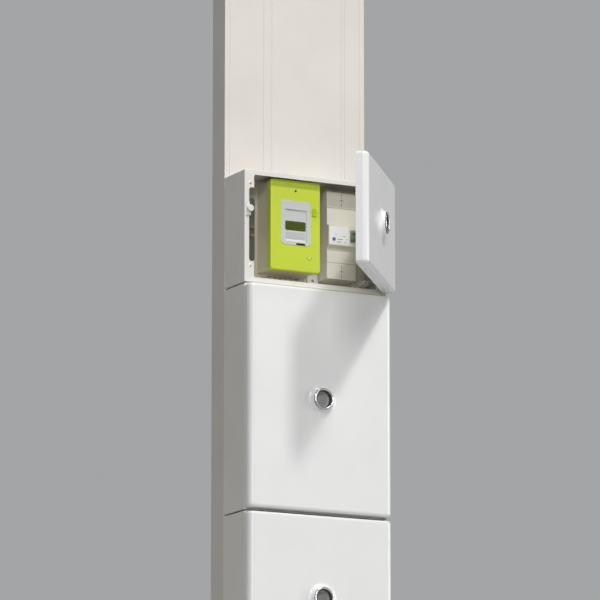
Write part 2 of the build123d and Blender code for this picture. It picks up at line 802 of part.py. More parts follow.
def housing(z_low, z_high, row_heights):
    """Four walls and a back, pillars for the rails, posts for the front plate, and hinge ears."""
    shell = panel(-half_width, half_width, z_low, z_high, trunk_depth, frame_out, corner_radius)
    shell -= panel(-inner_half_width, inner_half_width, z_low + housing_wall, z_high - housing_wall,
                   trunk_depth + housing_back, frame_out)
    for slot_z in (z_low + cable_slot_height, z_high - cable_slot_height):
        shell -= panel(-cable_slot_width / 2, cable_slot_width / 2, slot_z - cable_slot_height / 2,
                       slot_z + cable_slot_height / 2, trunk_depth, trunk_depth + housing_back,
                       cable_slot_radius)
    for row_z in row_heights:
        for side in (-1, 1):
            shell += panel(side * pillar_place - pillar_width / 2, side * pillar_place + pillar_width / 2,
                           row_z - pillar_height / 2, row_z + pillar_height / 2,
                           trunk_depth + housing_back, rail_back)
    for side in (-1, 1):
        for post_z in (z_low + plate_post_inset, z_high - plate_post_inset):
            shell += post(side * (half_width - plate_post_inset), post_z, plate_post_radius,
                          trunk_depth + housing_back, plate_back)
    return shell + hinge_ears(z_low, z_high)


def front_plate(z_low, z_high, row_heights):
    """The plate inside the housing's walls, with one window for each row."""
    side = inner_half_width - plate_play
    plate = panel(-side, side, z_low + housing_wall + plate_play, z_high - housing_wall - plate_play,
                  plate_back, frame_out)
    for row_z in row_heights:
        plate -= panel(row_left - window_play, -row_left + window_play,
                       row_z - collar_height / 2 - window_play, row_z + collar_height / 2 + window_play,
                       plate_back, frame_out)
    return plate


def rail(z):
    """A top-hat rail: its crown lies on the pillars and its edges carry the devices."""
    hat = Pos((rail_front + rail_back) / 2, 0) * Rectangle(rail_depth, rail_crown)
    brim = Pos(rail_front - rail_sheet / 2, 0) * Rectangle(rail_sheet, rail_height)
    groove_middle = (rail_front + rail_back + rail_sheet) / 2
    groove = Pos(groove_middle, 0) * Rectangle(rail_depth - rail_sheet, rail_crown - 2 * rail_sheet)
    return across(Pos(0, z) * (hat + brim - groove), -rail_half_length, rail_half_length)


def device_body(x_low, modules, z):
    """A rail device: a deep body with a collar in front of its shoulders."""
    left = x_low + device_play
    right = x_low + modules * module_width - device_play
    shoulder = rail_front + device_shoulder
    body = panel(left, right, z - device_height / 2, z + device_height / 2, rail_front, shoulder)
    return body + panel(left, right, z - collar_height / 2, z + collar_height / 2, shoulder,
                        rail_front + device_collar)


def single_breaker(x_low, z):
    """A one-module breaker with its toggle up, in one piece."""
    collar = rail_front + device_collar
    middle = x_low + module_width / 2
    root = collar - toggle_root
    tip = collar + toggle_length
    outline = Polyline((root, -toggle_thickness / 2), (tip, toggle_rise - toggle_thickness / 4),
                       (tip, toggle_rise + toggle_thickness / 4), (root, toggle_thickness / 2), close=True)
    stub = across(Pos(0, z) * make_face(outline), middle - toggle_width / 2, middle + toggle_width / 2)
    return device_body(x_low, 1, z) + stub


def blank_strip(x_low, x_high, z):
    """A strip on the front plate that covers the unused part of a row's window."""
    overlap = window_play + blank_overlap
    return panel(x_low, x_high + overlap, z - collar_height / 2 - overlap, z + collar_height / 2 + overlap,
                 frame_out, frame_out + blank_thickness, small_radius)


# Distribution cabinet
board_bottom = board_top - board_cabinet_height
board_middle = (board_top + board_bottom) / 2
row_heights = [board_middle + ((row_count - 1) / 2 - row) * row_pitch for row in range(row_count)]
write("board_housing", housing(board_bottom, board_top, row_heights))
write("board_front_plate", front_plate(board_bottom, board_top, row_heights))
write("din_rails", group([rail(row_z) for row_z in row_heights]))

switch_width = switch_modules * module_width
blank_left = row_left + switch_width + breakers_in_row * module_width + device_play
write("board_blanks", group([blank_strip(blank_left, -row_left, row_z) for row_z in row_heights]))
collar_front = rail_front + device_collar
for row, row_z in enumerate(row_heights):
    prefix = "row_" + str(row + 1)
    first_breaker = row_left + switch_width
    write(prefix + "_breakers", group([
        single_breaker(first_breaker + place * module_width, row_z) for place in range(breakers_in_row)]))
    switch_lever_x = row_left + switch_width * switch_lever_share
    switch_test_x = row_left + switch_width * switch_test_share
    switch_test_z = row_z - switch_test_drop
    switch_out = collar_front - switch_drum_behind
    switch = device_body(row_left, switch_modules, row_z)
    switch -= toggle_pocket(switch_lever_x, switch_out, row_z, switch_lever_width, switch_drum_radius)
    switch -= post(switch_test_x, switch_test_z, test_radius + test_play, collar_front - test_pocket,
                   collar_front)
    write(prefix + "_switch", switch)
    write(prefix + "_switch_lever", toggle(
        switch_lever_x, switch_out, row_z, switch_lever_width, switch_drum_radius, switch_stub_length,
        switch_stub_thickness, switch_lever_lean))
    button = post(switch_test_x, switch_test_z, test_radius, collar_front - test_length,
                  collar_front + test_proud)
    write(prefix + "_test_button", fillet(button.faces().sort_by(Axis.Y)[0].edges(), button_rounding))

write("board_door", door_skin(board_bottom, board_top))
board_catch = board_middle + row_pitch / 2
write("board_door_liner", door_liner(board_bottom, board_top, board_catch))
write("board_door_handle", ring_handle(board_bottom, board_top))

# Lower cabinet, with one empty row behind a blank strip
lower_row = lower_top - lower_cabinet_height / 2
write("lower_housing", housing(lower_bottom, lower_top, [lower_row]))
write("lower_front_plate", front_plate(lower_bottom, lower_top, [lower_row]))
write("lower_rail", rail(lower_row))
write("lower_blank", blank_strip(row_left - window_play - blank_overlap, -row_left, lower_row))
write("lower_door", door_skin(lower_bottom, lower_top))
lower_catch = lower_row + row_pitch / 2
write("lower_door_liner", door_liner(lower_bottom, lower_top, lower_catch))
write("lower_door_handle", ring_handle(lower_bottom, lower_top))
write("door_catches", group([catch_peg(board_catch), catch_peg(lower_catch)]))
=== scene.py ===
import json
import math

import bmesh
import bpy
import numpy as np
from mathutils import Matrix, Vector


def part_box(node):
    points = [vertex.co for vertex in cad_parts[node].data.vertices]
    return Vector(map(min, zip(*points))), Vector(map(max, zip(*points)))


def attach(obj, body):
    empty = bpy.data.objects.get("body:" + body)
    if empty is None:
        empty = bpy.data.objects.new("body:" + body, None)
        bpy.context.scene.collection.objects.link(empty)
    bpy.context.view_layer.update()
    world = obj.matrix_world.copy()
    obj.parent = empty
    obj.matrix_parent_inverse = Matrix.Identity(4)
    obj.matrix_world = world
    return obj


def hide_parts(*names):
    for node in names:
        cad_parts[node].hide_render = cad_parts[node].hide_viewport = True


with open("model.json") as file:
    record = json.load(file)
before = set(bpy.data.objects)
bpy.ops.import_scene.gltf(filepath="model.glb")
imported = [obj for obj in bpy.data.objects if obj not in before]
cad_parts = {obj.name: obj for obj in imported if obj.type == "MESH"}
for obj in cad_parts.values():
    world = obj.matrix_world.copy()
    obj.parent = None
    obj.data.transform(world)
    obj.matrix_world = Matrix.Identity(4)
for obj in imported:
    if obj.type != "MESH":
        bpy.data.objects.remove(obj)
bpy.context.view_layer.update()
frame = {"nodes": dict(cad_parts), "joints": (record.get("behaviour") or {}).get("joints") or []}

nodes = frame["nodes"]

# Trunking
# The column's back is an extruded C of warm white PVC, screwed to the wall, with two partitions.
# Flat covers clip in between their edges. Extruding leaves faint lines along the whole length.


def plastic(name, colour, roughness, grain, lift, drift=0.05, coat=0.0, along=(1.0, 1.0, 1.0)):
    """Moulded plastic: its colour drifts by a few percent over some centimetres, and its skin is a fine
    noise of so many grains to a metre, which lifts the surface and spreads the roughness. Stretching the
    noise along a direction gives draw lines."""
    material = bpy.data.materials.new(name)
    material.use_nodes = True
    tree = material.node_tree
    shader = tree.nodes["Principled BSDF"]
    place = tree.nodes.new("ShaderNodeTexCoord")
    stretch = tree.nodes.new("ShaderNodeMapping")
    stretch.inputs["Scale"].default_value = along
    cloud = tree.nodes.new("ShaderNodeTexNoise")
    cloud.inputs["Scale"].default_value = 9.0
    cloud.inputs["Detail"].default_value = 3.0
    tint = tree.nodes.new("ShaderNodeValToRGB")
    tint.color_ramp.elements[0].position = 0.35
    tint.color_ramp.elements[1].position = 0.65
    tint.color_ramp.elements[0].color = [c * (1 - drift) for c in colour] + [1.0]
    tint.color_ramp.elements[1].color = [min(c * (1 + drift / 2), 1.0) for c in colour] + [1.0]
    skin = tree.nodes.new("ShaderNodeTexNoise")
    skin.inputs["Scale"].default_value = grain
    skin.inputs["Detail"].default_value = 2.0
    smoother, rougher = 0.85, 1.15
    spread = tree.nodes.new("ShaderNodeMapRange")
    spread.inputs["To Min"].default_value = roughness * smoother
    spread.inputs["To Max"].default_value = min(roughness * rougher, 1.0)
    bump = tree.nodes.new("ShaderNodeBump")
    bump.inputs["Strength"].default_value = lift
    bump.inputs["Distance"].default_value = 0.0002
    tree.links.new(place.outputs["Object"], cloud.inputs["Vector"])
    tree.links.new(place.outputs["Object"], stretch.inputs["Vector"])
    tree.links.new(stretch.outputs["Vector"], skin.inputs["Vector"])
    tree.links.new(cloud.outputs["Fac"], tint.inputs["Fac"])
    tree.links.new(tint.outputs["Color"], shader.inputs["Base Color"])
    tree.links.new(skin.outputs["Fac"], spread.inputs["Value"])
    tree.links.new(spread.outputs["Result"], shader.inputs["Roughness"])
    tree.links.new(skin.outputs["Fac"], bump.inputs["Height"])
    tree.links.new(bump.outputs["Normal"], shader.inputs["Normal"])
    shader.inputs["IOR"].default_value = 1.5
    shader.inputs["Coat Weight"].default_value = coat
    shader.inputs["Coat Roughness"].default_value = 0.06
    return material


def dress(material, *names):
    """Give CAD nodes this material in each of their slots."""
    for name in names:
        for place in nodes[name].material_slots:
            place.material = material


trunking_white = plastic("trunking_white", (0.66, 0.63, 0.58), 0.42, grain=700.0, lift=0.10, drift=0.03,
                         along=(1.0, 1.0, 0.01))
dress(trunking_white, "trunking_base", "partition_left", "partition_right", "upper_cover_left",
      "upper_cover_centre", "upper_cover_right", "lower_covers")

# Cabinet housings
# Injection moulded boxes of cream white plastic with a satin skin, screwed to the trunking.
# Their front plates, blank strips, clip and catches come in the same plastic.
cabinet_white = plastic("cabinet_white", (0.77, 0.75, 0.70), 0.36, grain=1800.0, lift=0.05, drift=0.03)
dress(cabinet_white, "meter_surround", "board_housing", "lower_housing", "board_front_plate",
      "lower_front_plate", "board_blanks", "lower_blank", "board_clip", "catch_peg", "door_catches")

# Doors
# Each door is a moulded tray of cool white plastic, polished to a soft gloss, with a flared boss.
# A fine bead runs round its walls where the mould parts, and a pale grey liner closes its back.
hinge = next(j for j in frame["joints"] if j["name"] == "meter_door_hinge")
hinge_x, hinge_y = hinge["pos_m"][0], hinge["pos_m"][1]
# The hinge's lower limit is the closed door, so its distance from rest is how far the door stands open.
open_angle = -math.radians(hinge["range_deg"][0])
pin_length = 0.0025
bead_y = -0.1728
bead_radius = 0.0004
bead_corner = 0.0008


def swung(points):
    """Points of the closed meter door, turned about its hinge line to where it stands open."""
    x, y = points[..., 0] - hinge_x, points[..., 1] - hinge_y
    turned = points.copy()
    turned[..., 0] = hinge_x + x * math.cos(open_angle) - y * math.sin(open_angle)
    turned[..., 1] = hinge_y + x * math.sin(open_angle) + y * math.cos(open_angle)
    return turned


def surface(name, points, material, closed_round=False, closed_along=False):
    """A grid of points (rows, columns, 3) made into a smooth surface. Its last column is joined to the
    first where it goes all the way round, and its last row to the first where it is a closed tube. Rows
    drawn to one point become a single corner, so that poles are closed."""
    rows, columns = points.shape[:2]
    index = np.arange(rows * columns).reshape(rows, columns)
    if closed_round:
        index = np.hstack([index, index[:, :1]])
    if closed_along:
        index = np.vstack([index, index[:1]])
    corners = [index[:-1, :-1], index[:-1, 1:], index[1:, 1:], index[1:, :-1]]
    faces = np.stack(corners, axis=-1).reshape(-1, 4)
    mesh = bpy.data.meshes.new(name)
    mesh.from_pydata(points.reshape(-1, 3).tolist(), [], faces.tolist())
    mesh.polygons.foreach_set("use_smooth", np.ones(len(faces), bool))
    same_point = 1e-7
    whole = bmesh.new()
    whole.from_mesh(mesh)
    bmesh.ops.remove_doubles(whole, verts=whole.verts, dist=same_point)
    whole.to_mesh(mesh)
    whole.free()
    mesh.materials.append(material)
    mesh.update()
    piece = bpy.data.objects.new(name, mesh)
    bpy.context.collection.objects.link(piece)
    return piece


def outline_tube(x_low, x_high, z_low, z_high, corner, y, radius):
    """A round tube along a rectangle with round corners, seen from the front. The path is four
    quarter circles joined by straight runs, and at each of its points the tube's circle lies in the
    plane of the outward direction and Y."""
    corner_steps, tube_steps = 9, 12
    a = np.radians(np.concatenate([np.linspace(90 * k, 90 * k + 90, corner_steps) for k in range(4)]))
    centre_x = np.repeat([x_high - corner, x_low + corner, x_low + corner, x_high - corner], corner_steps)
    centre_z = np.repeat([z_high - corner, z_high - corner, z_low + corner, z_low + corner], corner_steps)
    t = np.linspace(0, 2 * math.pi, tube_steps, endpoint=False)[:, None]
    reach = corner + radius * np.cos(t)
    x = centre_x + reach * np.cos(a)
    z = centre_z + reach * np.sin(a)
    return np.stack([x, y - radius * np.sin(t) * np.ones_like(a), z], axis=-1)


door_white = plastic("door_white", (0.80, 0.80, 0.79), 0.24, grain=260.0, lift=0.015, drift=0.02,
                     coat=0.25)
liner_grey = plastic("liner_grey", (0.60, 0.60, 0.60), 0.38, grain=1500.0, lift=0.05, drift=0.025)
dress(door_white, "meter_door", "board_door", "lower_door")
dress(liner_grey, "meter_door_liner", "board_door_liner", "lower_door_liner")
# All three doors are as wide as the closed one in the middle, and their pins stick out above and below.
board_low, board_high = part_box("board_door")
for door in ("meter_door", "board_door", "lower_door"):
    low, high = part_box(door)
    points = outline_tube(board_low.x, board_high.x, low.z + pin_length, high.z - pin_length,
                          bead_corner, bead_y, bead_radius)
    if door == "meter_door":
        points = swung(points)
    bead = surface(door + "_bead", points, door_white, closed_round=True, closed_along=True)
    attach(bead, door)

# Ring handles
# A chromed ring with a rounded lip stands on each boss, and its cup takes a finger.
# Ring and cup are one turned piece, bright on the lip's front, with a grey satin lacquered floor. Dark
# chrome on the ring's outer wall, the lip's outer and inner edges and the cup's wall is painted shade, which
# outlines the ring.


def plated(name, colour, roughness):
    """Bright plating: a metal whose colour and roughness wander a little with one soft noise."""
    material = bpy.data.materials.new(name)
    material.use_nodes = True
    tree = material.node_tree
    shader = tree.nodes["Principled BSDF"]
    place = tree.nodes.new("ShaderNodeTexCoord")
    haze = tree.nodes.new("ShaderNodeTexNoise")
    haze.inputs["Scale"].default_value = 120.0
    haze.inputs["Detail"].default_value = 4.0
    smoother, rougher, dimmer = 0.7, 1.4, 0.93
    spread = tree.nodes.new("ShaderNodeMapRange")
    spread.inputs["To Min"].default_value = roughness * smoother
    spread.inputs["To Max"].default_value = roughness * rougher
    tint = tree.nodes.new("ShaderNodeValToRGB")
    tint.color_ramp.elements[0].color = [c * dimmer for c in colour] + [1.0]
    tint.color_ramp.elements[1].color = list(colour) + [1.0]
    tree.links.new(place.outputs["Object"], haze.inputs["Vector"])
    tree.links.new(haze.outputs["Fac"], spread.inputs["Value"])
    tree.links.new(haze.outputs["Fac"], tint.inputs["Fac"])
    tree.links.new(spread.outputs["Result"], shader.inputs["Roughness"])
    tree.links.new(tint.outputs["Color"], shader.inputs["Base Color"])
    shader.inputs["Metallic"].default_value = 1.0
    return material


ring_chrome = plated("ring_chrome", (0.76, 0.76, 0.77), 0.26)
# Dark chrome as painted shade on the ring's outer wall, the lip's edges and the cup's wall.
painted_shade_chrome = plated("painted_shade_chrome", (0.16, 0.16, 0.16), 0.22)
cup_satin = plastic("cup_satin", (0.36, 0.36, 0.35), 0.28, grain=1200.0, lift=0.04)
ring_radius = 0.0238
ring_land = -0.1960
ring_front = -0.1990
ring_lip = 0.0024
cup_radius = ring_radius - 2 * ring_lip
cup_rounding = 0.0060
cup_floor = -0.1830
lip_steps, rounding_steps, round_steps = 13, 7, 96
# Counted along the profile: the rows of the lip's bright front, and the first row of the satin floor. The
# rows outside the bright front, up to the floor, take dark chrome as painted shade.
bright_rows = (4, 12)
floor_row = 16


def arc(centre_r, centre_y, radius, start, end, steps):
    """An arc of the profile: radius and depth at even steps of the angle, from start to end in degrees."""
    a = np.radians(np.linspace(start, end, steps))
    return np.column_stack([centre_r + radius * np.cos(a), centre_y - radius * np.sin(a)])


def ring_points(z):
    """The ring and cup: one profile of radius and depth, carried round a full circle in even steps. The
    profile is a half circle over the lip, a quarter circle into the cup's floor, and the floor."""
    profile = np.vstack([
        [[ring_radius, ring_land]],
        arc(ring_radius - ring_lip, ring_front + ring_lip, ring_lip, 0, 180, lip_steps),
        arc(cup_radius - cup_rounding, cup_floor - cup_rounding, cup_rounding, 0, -90, rounding_steps),
        [[cup_radius / 2, cup_floor], [0.0, cup_floor]],
    ])
    a = np.linspace(0, 2 * math.pi, round_steps, endpoint=False)
    r, y = profile[:, :1], profile[:, 1:]
    return np.stack([r * np.cos(a), np.repeat(y, round_steps, axis=1), z + r * np.sin(a)], axis=-1)


for door in ("meter_door", "board_door", "lower_door"):
    low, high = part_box(door)
    points = ring_points((low.z + high.z) / 2)
    if door == "meter_door":
        points = swung(points)
    ring = surface(door + "_ring", points, ring_chrome, closed_round=True)
    ring.data.materials.append(painted_shade_chrome)
    ring.data.materials.append(cup_satin)
    row = np.arange(len(points) - 1)
    # Rows outside the lip's bright front get the dark chrome of painted shade, and the floor rows the grey
    # satin.
    finish = np.where((row < bright_rows[0]) | (row >= bright_rows[1]), 1, 0) + (row >= floor_row)
    ring.data.polygons.foreach_set("material_index", np.repeat(finish, points.shape[1]).astype(np.int32))
    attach(ring, door)
    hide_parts(door + "_handle")

# Mounting boards
# Two shallow pans of moulded cream plastic lie on the trunking and carry the meter and the main breaker.
# Posts in them take the surround's screws, and a plain plate stands beside the breaker.
board_cream = plastic("board_cream", (0.62, 0.58, 0.47), 0.45, grain=1300.0, lift=0.08)
dress(board_cream, "meter_board", "breaker_board", "blank_plate")

# Earth bar, screws and rails
# A coated steel bar behind the rim's notch, with two slotted brass screws; its near-black grey green is
# partly the coating and partly painted shade from the rim. The surround's own screws, the seal screws and
# the rails behind the closed doors are zinc plated steel.
# The bar's grey green coating, darkened with painted shade from the rim in front of it.
bar_grey = plastic("bar_grey", (0.070, 0.076, 0.060), 0.42, grain=900.0, lift=0.08)
brass = plated("brass", (0.72, 0.48, 0.14), 0.25)
screw_steel = plated("screw_steel", (0.72, 0.72, 0.70), 0.40)
seal_steel = plated("seal_steel", (0.46, 0.43, 0.38), 0.42)
rail_steel = plated("rail_steel", (0.50, 0.52, 0.51), 0.38)
dress(bar_grey, "earth_bar")
dress(brass, "earth_screws")
dress(rail_steel, "din_rails", "lower_rail")


def cross_heads(name, places, seat, radius, height, material):
    """Domed screw heads, one for each place. Each is a square grid drawn to a disc; it rises from the
    seat as the root of 1 minus the squared distance from the middle, and a cross is sunk in it whose
    arms are a fifth of the radius to either side and end where the squared distance is a half. The
    cross is turned a little more on each head."""
    side, arm_half, arm_end, sink = 25, 0.2, 0.5, 0.55
    first_turn, next_turn = 0.5, 0.7
    u, v = np.meshgrid(np.linspace(-1, 1, side), np.linspace(-1, 1, side), indexing="ij")
    disc_u, disc_v = u * np.sqrt(1 - v * v / 2), v * np.sqrt(1 - u * u / 2)
    far = np.minimum(disc_u ** 2 + disc_v ** 2, 1.0)
    arm = (np.minimum(abs(disc_u), abs(disc_v)) < arm_half) & (far < arm_end)
    rise = height * (np.sqrt(1 - far) - sink * arm)
    heads = []
    for number, (x, z) in enumerate(places):
        turn = first_turn + next_turn * number
        along = radius * (disc_u * math.cos(turn) - disc_v * math.sin(turn))
        upward = radius * (disc_u * math.sin(turn) + disc_v * math.cos(turn))
        heads.append(np.stack([x + along, -(seat + rise), z + upward], axis=-1))
    index = np.arange(side * side).reshape(side, side)
    corners = [index[:-1, :-1], index[1:, :-1], index[1:, 1:], index[:-1, 1:]]
    quads = np.stack(corners, axis=-1).reshape(-1, 4)
    faces = np.concatenate([quads + side * side * number for number in range(len(places))])
    mesh = bpy.data.meshes.new(name)
    mesh.from_pydata(np.array(heads).reshape(-1, 3).tolist(), [], faces.tolist())
    mesh.materials.append(material)
    mesh.update()
    piece = bpy.data.objects.new(name, mesh)
    bpy.context.collection.objects.link(piece)
    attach(piece, "root")
    return piece


screws_low, screws_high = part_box("surround_screws")
rim_seat, rim_radius, rim_rise = 0.158, 0.0035, 0.0012
rim_places = [(x, z) for x in (screws_low.x + rim_radius, screws_high.x - rim_radius)
              for z in (screws_low.z + rim_radius, screws_high.z - rim_radius)]
rim_screws = cross_heads("rim_screw_heads", rim_places, rim_seat, rim_radius, rim_rise, screw_steel)
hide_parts("surround_screws")
seal_low, seal_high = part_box("breaker_seal_screws")
seal_x = (seal_low.x + seal_high.x) / 2
seal_radius, seal_rise = 0.0022, 0.0008
seal_places = [(seal_x, seal_low.z + seal_radius), (seal_x, seal_high.z - seal_radius)]
seals = cross_heads("seal_screw_heads", seal_places, -seal_low.y - seal_rise, seal_radius, seal_rise,
                    seal_steel)
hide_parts("breaker_seal_screws")
clip_low, clip_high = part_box("board_clip")
clip_place = [((clip_low.x + clip_high.x) / 2, (clip_low.z + clip_high.z) / 2)]
clip_recess, clip_radius, clip_rise = 0.004, 0.0033, 0.0016
cross_heads("clip_screw_head", clip_place, -clip_low.y - clip_recess, clip_radius, clip_rise, screw_steel)

# Meter
# A cream body stands on its board under a lime green cover, which one large green screw holds. A pale
# grey bezel frames the dark liquid crystal display. All but the display is moulded with a satin skin.
meter_cream = plastic("meter_cream", (0.66, 0.62, 0.48), 0.45, grain=1200.0, lift=0.08)
meter_lime = plastic("meter_lime", (0.59, 0.70, 0.062), 0.32, grain=1600.0, lift=0.05, drift=0.03)
button_green = plastic("button_green", (0.43, 0.57, 0.02), 0.36, grain=1600.0, lift=0.05)
painted_shade_green = plastic("painted_shade_green", (0.16, 0.22, 0.02), 0.40, grain=1600.0, lift=0.03)
bezel_grey = plastic("bezel_grey", (0.60, 0.61, 0.60), 0.40, grain=1600.0, lift=0.05)
display_olive = plastic("display_olive", (0.060, 0.085, 0.010), 0.16, grain=300.0, lift=0.01, coat=0.8)
screw_white = plastic("screw_white", (0.78, 0.77, 0.70), 0.35, grain=1800.0, lift=0.04)
dress(meter_cream, "meter_body")
dress(meter_lime, "meter_cover")
dress(button_green, "meter_button")
dress(bezel_grey, "meter_bezel")
dress(display_olive, "meter_display")
dress(button_green, "meter_cover_screw")
eye_black = plastic("eye_black", (0.012, 0.012, 0.014), 0.20, grain=300.0, lift=0.01, coat=0.6)
label_grey = plastic("label_grey", (0.50, 0.51, 0.50), 0.50, grain=900.0, lift=0.02)


def cushion(name, x_low, x_high, z_low, z_high, back, rise, corner, material):
    """A low pad with round corners and soft edges. Its outline is a superellipse whose power grows as
    the corner shrinks, and it rises from the back plane by 1 minus the eighth power of the distance
    from its middle. The rows stand closer towards the edge."""
    rows, columns, crowding, edge_power, corner_power = 14, 84, 0.35, 8, 1.6
    u = np.linspace(0.0, 1.0, rows)[:, None]
    a = np.linspace(0.0, 2 * math.pi, columns, endpoint=False)[None, :]
    half_x, half_z = (x_high - x_low) / 2, (z_high - z_low) / 2
    power = max(2.0, corner_power * min(half_x, half_z) / corner)
    c, q = np.cos(a), np.sin(a)
    edge = (np.abs(c) ** power + np.abs(q) ** power) ** (-1.0 / power)
    spread = u ** crowding
    x = (x_low + x_high) / 2 + half_x * spread * edge * c
    z = (z_low + z_high) / 2 + half_z * spread * edge * q
    y = -(back + rise * (1 - spread ** edge_power) * np.ones_like(a))
    return surface(name, np.stack([x, y, z], axis=-1)[::-1], material, closed_round=True)


def on(piece, body):
    """A new piece rides on its body."""
    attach(piece, body)


cover_low, cover_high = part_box("meter_cover")
bezel_low, bezel_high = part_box("meter_bezel")
display_low, display_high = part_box("meter_display")
meter_front, bezel_front = -cover_low.y, -bezel_low.y
middle = (bezel_low.x + bezel_high.x) / 2
seated = 0.0001
eye_z, eye_radius, eye_sink = cover_high.z - 0.024, 0.0024, 0.0020
on(cushion("status_lamp", middle - eye_radius, middle + eye_radius, eye_z - eye_radius, eye_z + eye_radius,
           back=meter_front - eye_sink, rise=0.0012, corner=0.0012, material=eye_black),
   "root")
port_left, port_right, port_foot, port_top = 0.0005, 0.0235, 0.0005, 0.0050
on(cushion("optical_port", middle + port_left, middle + port_right, bezel_low.z + port_foot,
           bezel_low.z + port_top, back=bezel_front - seated, rise=0.0007, corner=0.0005,
           material=eye_black), "root")
glass_lap = 0.0008
on(cushion("display_glass", display_low.x - glass_lap, display_high.x + glass_lap,
           display_low.z - glass_lap, display_high.z + glass_lap, back=-display_low.y - seated,
           rise=0.0006, corner=0.0016, material=display_olive), "root")
panel_sink = 0.0021
plate_foot, plate_top = display_low.z - 0.0200, display_low.z - 0.0030
on(cushion("rating_plate", display_low.x, display_high.x, plate_foot, plate_top,
           back=bezel_front - panel_sink, rise=0.0004, corner=0.0016, material=label_grey),
   "root")
keys_foot, keys_top = display_low.z - 0.0266, display_low.z - 0.0210
on(cushion("key_strip", display_low.x, display_high.x, keys_foot, keys_top,
           back=bezel_front - panel_sink, rise=0.0012, corner=0.0014, material=screw_white),
   "root")
button_low, button_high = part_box("meter_button")
button_z = (button_low.z + button_high.z) / 2
dot_gap, dot_half_x, dot_half_z = 0.0028, 0.0013, 0.0016
for side, dot_x in (("left", button_low.x - dot_gap), ("right", button_high.x + dot_gap)):
    on(cushion("button_mark_" + side, dot_x - dot_half_x, dot_x + dot_half_x, button_z - dot_half_z,
               button_z + dot_half_z, back=meter_front - seated, rise=0.0004, corner=0.0010,
               material=button_green), "root")
cross_low, cross_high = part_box("meter_cover_screw")
cross_x, cross_z = (cross_low.x + cross_high.x) / 2, (cross_low.z + cross_high.z) / 2
# Two dark green dashes to either side of the cover screw's white cross are painted shade round the cross.
dash_gap, dash_half_x, dash_half_z = 0.0052, 0.0016, 0.0007
for side, dash_x in (("left", cross_x - dash_gap), ("right", cross_x + dash_gap)):
    on(cushion("screw_painted_shade_" + side, dash_x - dash_half_x, dash_x + dash_half_x, cross_z - dash_half_z,
               cross_z + dash_half_z, back=meter_front - seated, rise=0.0003, corner=0.0003,
               material=painted_shade_green), "root")
plus_long, plus_short, plus_sink = 0.0038, 0.0012, 0.0009
for way, half_x, half_z in (("flat", plus_long, plus_short), ("upright", plus_short, plus_long)):
    on(cushion("plus_" + way, cross_x - half_x, cross_x + half_x, cross_z - half_z, cross_z + half_z,
               back=-cross_low.y - plus_sink, rise=0.0012, corner=0.0009, material=screw_white),
       "root")

# Main breaker and row breakers
# Moulded cream white bodies with grey green toggles and blue test buttons; the rows snap onto rails. The
# main breaker has two terminal covers, each held by a seal screw, and a white label stuck to its face.
breaker_cream = plastic("breaker_cream", (0.74, 0.71, 0.61), 0.38, grain=1500.0, lift=0.06)
lever_grey = plastic("lever_grey", (0.22, 0.25, 0.20), 0.35, grain=1200.0, lift=0.05)
test_blue = plastic("test_blue", (0.02, 0.12, 0.42), 0.30, grain=1200.0, lift=0.04)
dress(breaker_cream, "breaker_body", "breaker_upper_cover", "breaker_lower_cover")
dress(lever_grey, "breaker_lever")
dress(test_blue, "breaker_test_button")
mark_brown = plastic("mark_brown", (0.16, 0.13, 0.09), 0.55, grain=900.0, lift=0.03)


def mark(name, x_low, x_high, z_low, z_high, seat):
    """A thin printed or moulded mark on the main breaker, 0.15 mm proud of its seat. Its corners are as
    tight as three twentieths of its narrow side."""
    sink, rise, tightness = 0.00005, 0.0002, 0.15
    corner = tightness * min(x_high - x_low, z_high - z_low)
    on(cushion(name, x_low, x_high, z_low, z_high, back=seat - sink, rise=rise, corner=corner,
               material=mark_brown), "root")


upper_low, upper_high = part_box("breaker_upper_cover")
lower_low, lower_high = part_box("breaker_lower_cover")
terminal_front = -upper_low.y
line, line_gap, line_foot, line_top = 0.0005, 0.0040, 0.0030, 0.0045
tick_near, tick_far = 0.0028, 0.0055
for part, low, high in (("upper", upper_low, upper_high), ("lower", lower_low, lower_high)):
    screw_z = (low.z + high.z) / 2
    mark(part + "_line_high", seal_x - line, seal_x + line, screw_z + line_gap, high.z - line_top,
         terminal_front)
    mark(part + "_line_low", seal_x - line, seal_x + line, low.z + line_foot, screw_z - line_gap,
         terminal_front)
    mark(part + "_tick_left", seal_x - tick_far, seal_x - tick_near, screw_z - line, screw_z + line,
         terminal_front)
    mark(part + "_tick_right", seal_x + tick_near, seal_x + tick_far, screw_z - line, screw_z + line,
         terminal_front)
test_low, test_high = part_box("breaker_test_button")
test_proud, lever_above_test, label_rise = 0.0015, 0.0063, 0.0003
label_seat = -test_low.y - test_proud
lever_low, lever_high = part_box("breaker_lever")
lever_x = (lever_low.x + lever_high.x) / 2
lever_z = test_high.z + lever_above_test
label_white = plastic("label_white", (0.84, 0.84, 0.81), 0.50, grain=900.0, lift=0.02, drift=0.02)
label_left, label_right = seal_x - 0.0345, lever_x - 0.0095
label_foot, label_top = lever_z - 0.0200, lever_z + 0.0205
on(cushion("rating_label", label_left, label_right, label_foot, label_top, back=label_seat - seated,
           rise=label_rise, corner=0.0015, material=label_white), "root")
label_face = label_seat + (label_rise - seated)
guard_lap, guard_foot, guard_corner, guard_radius = 0.0009, 0.0014, 0.0030, 0.0004
guard_points = outline_tube(test_low.x - guard_lap, test_high.x + guard_lap, test_low.z - guard_foot,
                            test_high.z + guard_lap, guard_corner, -label_face, guard_radius)
on(surface("test_guard", guard_points, lever_grey, closed_round=True, closed_along=True),
   "root")
